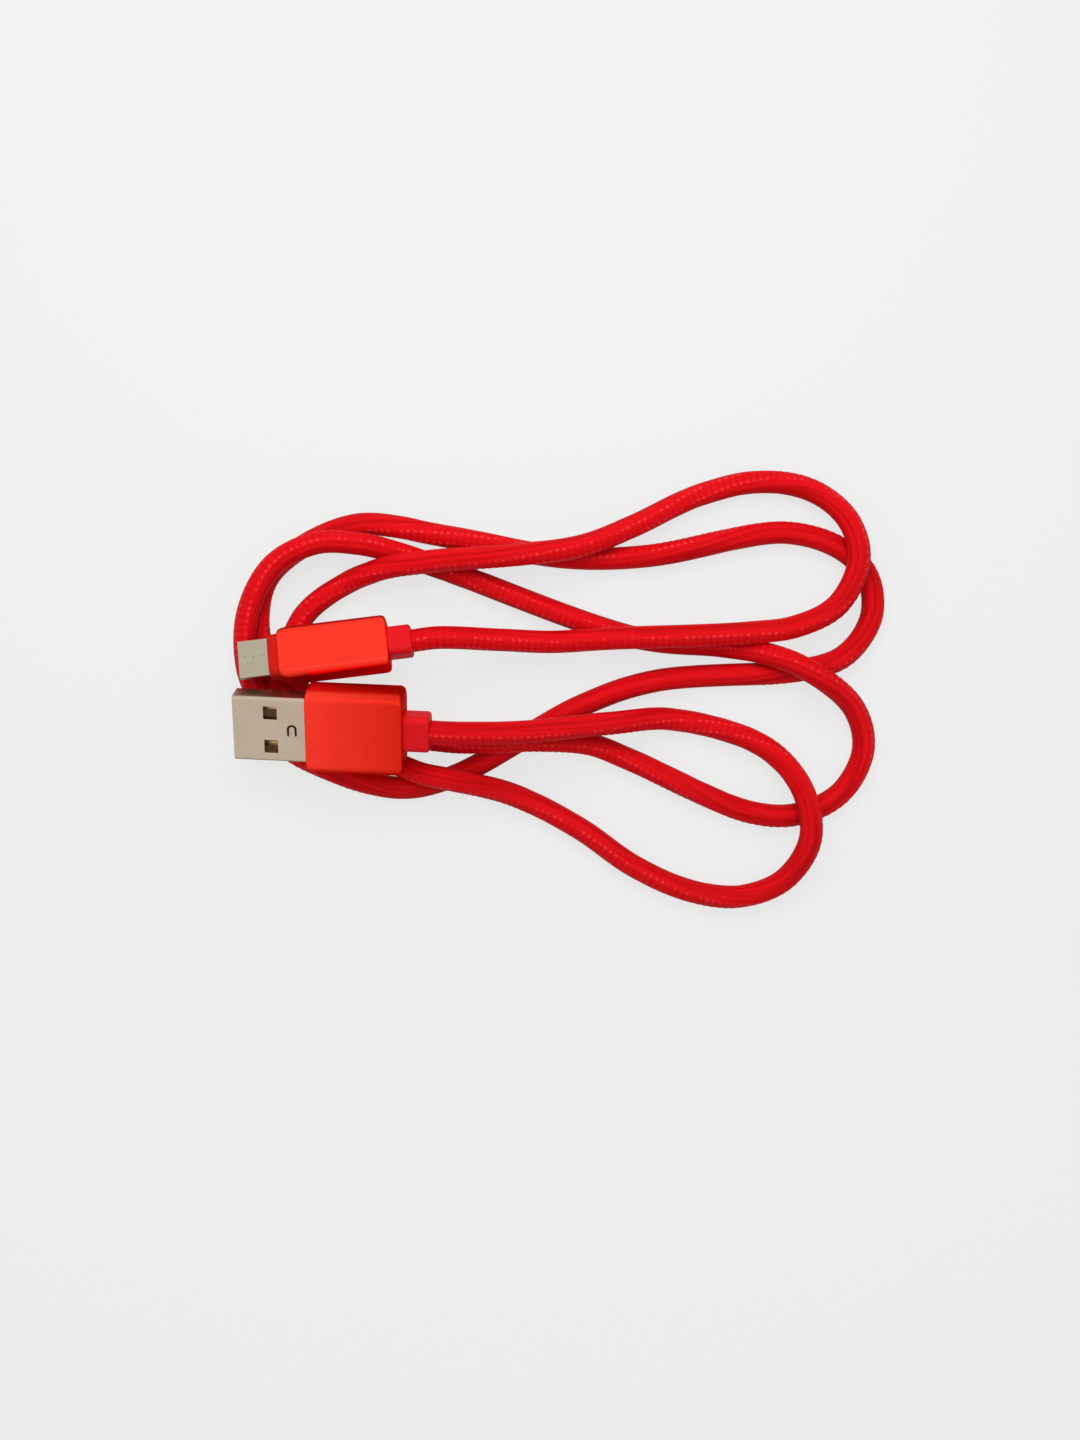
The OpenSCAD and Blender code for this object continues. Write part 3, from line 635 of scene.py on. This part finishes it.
def makeHousing(name, plug, node, collar, look, material):
    low, high = plugBox(plug, node)
    opening = plugBox(plug, collar)[1]
    halfY, halfZ, wall = high.y, high.z, look["wall"]
    rings = softRings(low.x, high.x, halfY, halfZ, look["corner"], look["frontSoft"], look["backSoft"])
    inner = look["innerCorner"]
    holeY = opening.y - look["lap"]
    holeZ = opening.z - look["lap"]
    rings.append(roundedRing(high.x, holeY, holeZ, inner))
    rings.append(roundedRing(high.x - wall, holeY, holeZ, inner))
    rings.append(roundedRing(high.x - wall, halfY - wall, halfZ - wall, inner))
    rings.append(roundedRing(low.x, halfY - wall, halfZ - wall, inner))
    piece = loft(name, plug, rings)
    return finishPiece(piece, "cable", "red_aluminium", material, node)


usbHousing = makeHousing(
    "usb_a_housing_skin", usbPlug, "usb_a_housing", "usb_a_collar", usbHousingLook, usbAluminium
)
makeHousing(
    "micro_housing_skin", microPlug, "micro_housing", "micro_collar", microHousingLook, microAluminium
)

# crimson plastic collars, moulded round the cord

collarLook = {
    "corner": 0.0012,
    "seatEdge": (0.0001, 0.0001, 0.0001),
    "soft": (0.0006, 0.0006, 0.0005),
    "spigot": 0.0006,
    "spigotStep": 0.00015,
    "bore": 0.00203,
    "colour": (0.70, 0.006, 0.0115),
    "pale": (0.82, 0.025, 0.03),
    "handled": (0.60, 0.004, 0.008),
}


def plasticMaterial(name, look, roughness, speckle, handledShare=0.5, paleShare=0.5, spread=0.06):
    material, tree, shader = newMaterial(name, Specular_IOR_Level=0.22, Specular_Tint=(1, 0.45, 0.4, 1))
    fine = place(tree, grain, Scale=speckle)["Value"]
    handled = place(tree, smudges, Scale=260)["Mask"]
    worn = place(tree, edgeWear, Start=0.52, Spread=0.08)["Mask"]
    touched = maths(tree, "MULTIPLY", handled, handledShare)
    colour = mixColour(tree, touched, look["colour"], look["handled"])
    rubbed = maths(tree, "MULTIPLY", worn, paleShare)
    colour = mixColour(tree, rubbed, colour, look["pale"])
    rough = remap(tree, fine, *noiseRange, roughness - spread, roughness + spread)
    normal = bump(tree, fine, distance=0.000006, strength=0.5)
    connect(tree, shader, Base_Color=colour, Roughness=rough, Normal=normal)
    return material


collarPlastic = plasticMaterial("collar_plastic", collarLook, roughness=0.42, speckle=7000)


def makeCollar(name, plug, node, look):
    low, high = plugBox(plug, node)
    seat = low.x + look["spigot"]
    rings = softRings(seat, high.x, high.y, high.z, look["corner"], look["seatEdge"], look["soft"])
    rings.append(roundRing(high.x, look["bore"], rings[-1]))
    rings.append(roundRing(low.x, look["bore"], rings[-2]))
    step = look["spigotStep"]
    rings.append(roundedRing(low.x, high.y - step, high.z - step, look["corner"]))
    rings.append(roundedRing(seat, high.y - step, high.z - step, look["corner"]))
    piece = loft(name, plug, rings)
    return finishPiece(piece, "cable", "collar_plastic", collarPlastic, node)


usbCollar = makeCollar("usb_a_collar_skin", usbPlug, "usb_a_collar", collarLook)
makeCollar("micro_collar_skin", microPlug, "micro_collar", collarLook)

# the dark red nose in front of the micro housing

noseLook = {
    "front": (0.00385, 0.0021),  # half width and half height at the end that shows
    "root": (0.00395, 0.0023),  # the same where it meets the housing
    "corner": 0.0012,
    "soft": 0.0004,
    "spigot": 0.002,
    "spigotGap": 0.00005,  # how much the spigot is drawn in on each side from the frame's
    "colour": (0.58, 0.009, 0.004),
    "pale": (0.72, 0.024, 0.012),
    "handled": (0.46, 0.005, 0.003),
}
nosePlastic = plasticMaterial("nose_plastic", noseLook, roughness=0.4, speckle=7000)


def makeNose(name, plug, node, look, steps=6):
    low, high = plugBox(plug, node)
    root = high.x - look["spigot"]
    frontY, frontZ = look["front"]
    rootY, rootZ = look["root"]
    soft = look["soft"]
    rings = []
    for k in range(steps + 1):
        turn = math.pi / 2 * k / steps
        depth = soft * (1 - math.cos(turn))
        inset = softened(depth, soft)
        share = depth / (root - low.x)
        y = frontY + (rootY - frontY) * share - inset
        z = frontZ + (rootZ - frontZ) * share - inset
        rings.append(roundedRing(low.x + depth, y, z, look["corner"]))
    rings.append(roundedRing(root, rootY, rootZ, look["corner"]))
    spigotY = high.y - look["spigotGap"]
    spigotZ = high.z - look["spigotGap"]
    rings.append(roundedRing(root, spigotY, spigotZ, look["corner"]))
    rings.append(roundedRing(high.x, spigotY, spigotZ, look["corner"]))
    piece = loft(name, plug, rings, closed=False)

    # the shell passes right through it
    core = bmesh.new()
    core.from_mesh(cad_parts["micro_shell"].data)
    hull = bmesh.ops.convex_hull(core, input=core.verts)
    bmesh.ops.delete(core, geom=hull["geom_interior"] + hull["geom_unused"], context="VERTS")
    core.verts.index_update()
    faces = [[v.index for v in f.verts] for f in core.faces]
    points = [v.co.copy() for v in core.verts]
    core.free()
    cutter = addObject("shell_core", meshFrom("shell_core", points, faces))
    cut = piece.modifiers.new("way for the shell", "BOOLEAN")
    cut.object = cutter
    cut.solver = "EXACT"
    piece.modifiers.move(1, 0)
    dressed = bpy.data.meshes.new_from_object(piece.evaluated_get(bpy.context.evaluated_depsgraph_get()))
    piece.modifiers.clear()
    piece.data = dressed
    bpy.data.objects.remove(cutter)
    return finishPiece(piece, "cable", "nose_plastic", nosePlastic, node)


makeNose("micro_nose_skin", microPlug, "micro_nose", noseLook)
print("housings, collars and nose made")

# shells, latches and contacts: the frame's own shapes with their edges eased

easedLook = {
    "usbShell": 0.00005,
    "microShell": 0.00003,
    "latch": 0.00004,
    "contact": 0.00003,
    "weld": 1e-6,  # corners closer than this become one
    "flatAngle": 1,  # degrees: faces that meet at less than this are joined
    "sharpAngle": 30,  # degrees: edges that turn more than this are shaded sharp
    "easedAngle": 35,  # degrees: edges that turn more than this are eased
    "segments": 2,
}


def easedCopy(node, look, part):
    work = bmesh.new()
    work.from_mesh(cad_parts[node].data)
    bmesh.ops.remove_doubles(work, verts=work.verts, dist=look["weld"])
    flat = math.radians(look["flatAngle"])
    bmesh.ops.dissolve_limit(work, angle_limit=flat, verts=work.verts, edges=work.edges)
    work.verts.index_update()
    points = [v.co.copy() for v in work.verts]
    faces = [[v.index for v in f.verts] for f in work.faces]
    work.free()
    piece = addObject(node + "_eased", meshFrom(node + "_eased", points, faces, look["sharpAngle"]))
    bevel = piece.modifiers.new("eased edges", "BEVEL")
    bevel.width = look[part]
    bevel.segments = look["segments"]
    bevel.limit_method = "ANGLE"
    bevel.angle_limit = math.radians(look["easedAngle"])
    weighted = piece.modifiers.new("even shading", "WEIGHTED_NORMAL")
    weighted.keep_sharp = True
    return piece


nickelLook = {
    "colour": (0.50, 0.40, 0.305),
    "worn": (0.88, 0.74, 0.60),
    "dull": (0.45, 0.36, 0.27),
    "wornShare": 0.08,
    "smooth": 0.26,
    "rough": 0.34,
}
# the same nickel as the larger shell, painted darker as shade, since this small shell catches more light
shadedSmallNickelLook = {
    "colour": (0.40, 0.365, 0.28),
    "worn": (0.80, 0.62, 0.46),
    "dull": (0.36, 0.32, 0.24),
    "wornShare": 0.08,
    "smooth": 0.26,
    "rough": 0.34,
    # the dark colour painted into the marks as the shade in their hollows
    "pressed": (0.16, 0.13, 0.1),
    # three shallow tool marks on the wide face, as places along the plug's own axes
    "marks": ((-0.02946, 0.0005, 0.0009), (-0.02804, 0.00015, 0.0009), (-0.02653, 0.00042, 0.0009)),
}


def spots(tree, plug, marks, radius=0.00024, core=0.4):  # fully pressed within that share of the radius
    where = addNode(tree, "ShaderNodeTexCoord").outputs["Object"]
    mask = 0
    for mark in marks:
        centre = plugPlace(plug) @ Vector(mark)
        values = {0: where, 1: tuple(centre)}
        away = addNode(tree, "ShaderNodeVectorMath", values, operation="DISTANCE").outputs["Value"]
        mask = maths(tree, "MAXIMUM", mask, remap(tree, away, radius, radius * core))
    return mask


def sheetMetal(name, look, plug, dullShare=0.35, markShadeShare=0.55, pressedDepth=6):
    material, tree, shader = newMaterial(name, Metallic=1)
    lines = place(tree, streaks, Along=tuple(heading(plug)), Scale=9000)["Value"]
    dull = place(tree, smudges, Scale=130, Contrast=0.25)["Mask"]
    worn = place(tree, edgeWear, Start=0.512, Spread=0.06)["Mask"]
    colour = mixColour(tree, maths(tree, "MULTIPLY", dull, dullShare), look["colour"], look["dull"])
    colour = mixColour(tree, maths(tree, "MULTIPLY", worn, look["wornShare"]), colour, look["worn"])
    height = lines
    if look.get("marks"):
        pressed = spots(tree, plug, look["marks"])
        # painted shade in the pressed marks, which the bump also sinks
        colour = mixColour(tree, maths(tree, "MULTIPLY", pressed, markShadeShare), colour, look["pressed"])
        height = maths(tree, "SUBTRACT", lines, maths(tree, "MULTIPLY", pressed, pressedDepth))
    roughness = remap(tree, lines, *noiseRange, look["smooth"], look["rough"])
    normal = bump(tree, height, distance=0.000003, strength=0.5)
    connect(tree, shader, Base_Color=colour, Roughness=roughness, Normal=normal)
    return material


usbNickel = sheetMetal("nickel_shell", nickelLook, usbPlug)
microNickel = sheetMetal("nickel_shell_small_shaded", shadedSmallNickelLook, microPlug)

springLook = {
    "colour": (0.62, 0.58, 0.52),
    "worn": (0.85, 0.83, 0.80),
    "dull": (0.45, 0.42, 0.38),
    "wornShare": 0.5,
    "smooth": 0.2,
    "rough": 0.34,
}
springSteel = sheetMetal("spring_steel", springLook, microPlug)

# the gold of the contacts, painted darker and browner as the shade inside the shells
shadedGiltLook = {
    "colour": (0.56, 0.32, 0.13),
    "worn": (0.66, 0.46, 0.26),
    "dull": (0.42, 0.22, 0.09),
    "wornShare": 0.4,
    "smooth": 0.24,
    "rough": 0.38,
}
shadedGiltContact = sheetMetal("gilt_contact", shadedGiltLook, usbPlug)

brassLook = {
    "colour": (0.72, 0.52, 0.24),
    "worn": (0.85, 0.70, 0.42),
    "dull": (0.50, 0.34, 0.14),
    "wornShare": 0.4,
    "smooth": 0.25,
    "rough": 0.42,
}
ferruleBrass = sheetMetal("ferrule_brass", brassLook, usbPlug)

solderLook = {
    "colour": (0.62, 0.62, 0.63),
    "worn": (0.78, 0.78, 0.78),
    "dull": (0.46, 0.46, 0.48),
    "wornShare": 0.2,
    "smooth": 0.22,
    "rough": 0.40,
}
solder = sheetMetal("solder", solderLook, usbPlug)

# partly the tongue's own dark brown plastic, partly painted reflection: lighter and redder, as the red light
# reflected inside the shell
tongueLook = {"colour": (0.26, 0.12, 0.065), "pale": (0.36, 0.2, 0.12), "handled": (0.2, 0.08, 0.04)}
mouldLook = {"colour": (0.20, 0.19, 0.18), "pale": (0.32, 0.31, 0.30), "handled": (0.15, 0.14, 0.135)}
tonguePlastic = plasticMaterial("tongue_plastic", tongueLook, roughness=0.5, speckle=9000)
innerPlastic = plasticMaterial("inner_plastic", mouldLook, roughness=0.5, speckle=6000)

wireLooks = {
    "red": {"colour": (0.55, 0.012, 0.012), "pale": (0.7, 0.06, 0.05), "handled": (0.42, 0.008, 0.008)},
    "white": {"colour": (0.72, 0.71, 0.68), "pale": (0.82, 0.81, 0.79), "handled": (0.58, 0.56, 0.52)},
    "green": {"colour": (0.03, 0.28, 0.05), "pale": (0.08, 0.4, 0.1), "handled": (0.02, 0.2, 0.035)},
    "black": {"colour": (0.02, 0.02, 0.022), "pale": (0.07, 0.07, 0.07), "handled": (0.012, 0.012, 0.013)},
}
wirePlastics = {
    name: plasticMaterial("wire_" + name, look, roughness=0.38, speckle=12000)
    for name, look in wireLooks.items()
}

usbShell = easedCopy("usb_a_shell", easedLook, "usbShell")
finishPiece(usbShell, "cable", "nickel_shell", usbNickel, "usb_a_shell")
microShell = easedCopy("micro_shell", easedLook, "microShell")
finishPiece(microShell, "cable", "nickel_shell", microNickel, "micro_shell")

for side in ("left", "right"):
    latch = easedCopy("micro_latch_" + side, easedLook, "latch")
    finishPiece(latch, "latch_" + side, "spring_steel", springSteel, "micro_latch_" + side)
for pin in ("vbus", "minus", "plus", "id", "ground"):
    contact = easedCopy("micro_contact_" + pin, easedLook, "contact")
    finishPiece(contact, "contact_" + pin, "gilt_contact", shadedGiltContact, "micro_contact_" + pin)
print("shells, latches and contacts made")


def dress(node, material):
    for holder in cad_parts[node].material_slots:
        holder.material = material


for pin in ("vbus", "minus", "plus", "ground"):
    dress("usb_a_contact_" + pin, shadedGiltContact)
dress("micro_contact_tails", shadedGiltContact)
for end in ("usb_a_", "micro_"):
    dress(end + "tongue", tonguePlastic)
    dress(end + "solder", solder)
    dress(end + "ferrule", ferruleBrass)
    dress(end + "inner_mould", innerPlastic)
    dress(end + "cord_end", braid)
    for name, plastic in wirePlastics.items():
        dress(end + "wire_" + name, plastic)

print("every piece dressed")

# floor, world and lamps

stageLook = {
    "pale": (0.855, 0.858, 0.855),
    "bounce": (0.42, 0.42, 0.42),  # the floor as the light that it throws back sees it
    "plain": 0.84,  # share of the floor's look that takes no shadow
    "mirrored": 0.5,  # level of that share in a reflection
    "size": 3.0,
    "soft": (0.36, 0.55),  # level of the world's light at the horizon, and how much more straight above
    "mirror": (1.2, 0.08),  # level of the world in a reflection, and how much more on the far side
}
keyLook = {"place": (-0.02, 0.15, 0.2), "size": 0.16, "power": 0.35}
sparkLook = {"turn": -20, "height": 78, "width": 14, "strength": 0.25}


def lightPath(tree):
    paths = addNode(tree, "ShaderNodeLightPath").outputs
    mirrored = paths["Is Glossy Ray"]
    seen = maths(tree, "MAXIMUM", paths["Is Camera Ray"], paths["Is Transmission Ray"])
    return seen, mirrored


def makeFloor(look):
    half = look["size"] / 2
    corners = [(-half, -half, 0), (half, -half, 0), (half, half, 0), (-half, half, 0)]
    floor = addObject("floor", meshFrom("floor", corners, [(0, 1, 2, 3)]))
    material, tree, shader = newMaterial("floor", Roughness=0.9, Specular_IOR_Level=0.1)
    seen, mirrored = lightPath(tree)
    shown = maths(tree, "MAXIMUM", seen, mirrored)
    tree.links.new(mixColour(tree, shown, look["bounce"], look["pale"]), shader.inputs["Base Color"])
    level = remap(tree, mirrored, 0, 1, 1, look["mirrored"])
    glow = addNode(tree, "ShaderNodeEmission", {"Color": (*look["pale"], 1), "Strength": level})
    share = maths(tree, "MULTIPLY", shown, look["plain"])
    values = {0: share, 1: shader.outputs[0], 2: glow.outputs[0]}
    mixed = addNode(tree, "ShaderNodeMixShader", values)
    tree.links.new(mixed.outputs[0], tree.nodes["Material Output"].inputs["Surface"])
    floor.data.materials.append(material)


def makeWorld(look):
    world = bpy.data.worlds.new("studio")
    bpy.context.scene.world = world
    world.use_nodes = True
    tree = world.node_tree
    backdrop = tree.nodes["Background"]
    backdrop.inputs["Color"].default_value = (*look["pale"], 1)
    direction = addNode(tree, "ShaderNodeTexCoord").outputs["Generated"]
    _, far, up = addNode(tree, "ShaderNodeSeparateXYZ", {0: direction}).outputs
    soft = maths(tree, "MULTIPLY_ADD", maths(tree, "MAXIMUM", up, 0), look["soft"][1], look["soft"][0])
    mirror = maths(tree, "MULTIPLY_ADD", far, look["mirror"][1], look["mirror"][0])
    seen, mirrored = lightPath(tree)
    strength = mixValue(tree, mirrored, soft, mirror)
    tree.links.new(mixValue(tree, seen, strength, 1), backdrop.inputs["Strength"])


def makeLamp(name, kind, **settings):
    data = bpy.data.lights.new(name, kind)
    for key, value in settings.items():
        setattr(data, key, value)
    lamp = bpy.data.objects.new(name, data)
    bpy.context.scene.collection.objects.link(lamp)
    return lamp


makeFloor(stageLook)
makeWorld(stageLook)

# a soft key close by on the far side, so that what lies nearer to it is a little brighter
key = makeLamp("key", "AREA", energy=keyLook["power"], size=keyLook["size"])
key.location = keyLook["place"]
key.rotation_euler = (-key.location).to_track_quat("-Z", "Y").to_euler()
key.visible_glossy = False

# a weak sun that picks out the stitches
spark = makeLamp("spark", "SUN", energy=sparkLook["strength"], angle=math.radians(sparkLook["width"]))
spark.rotation_euler = (math.radians(sparkLook["height"] - 90), 0, math.radians(sparkLook["turn"]))
print("floor, world and lamps made")

bpy.context.view_layer.update()
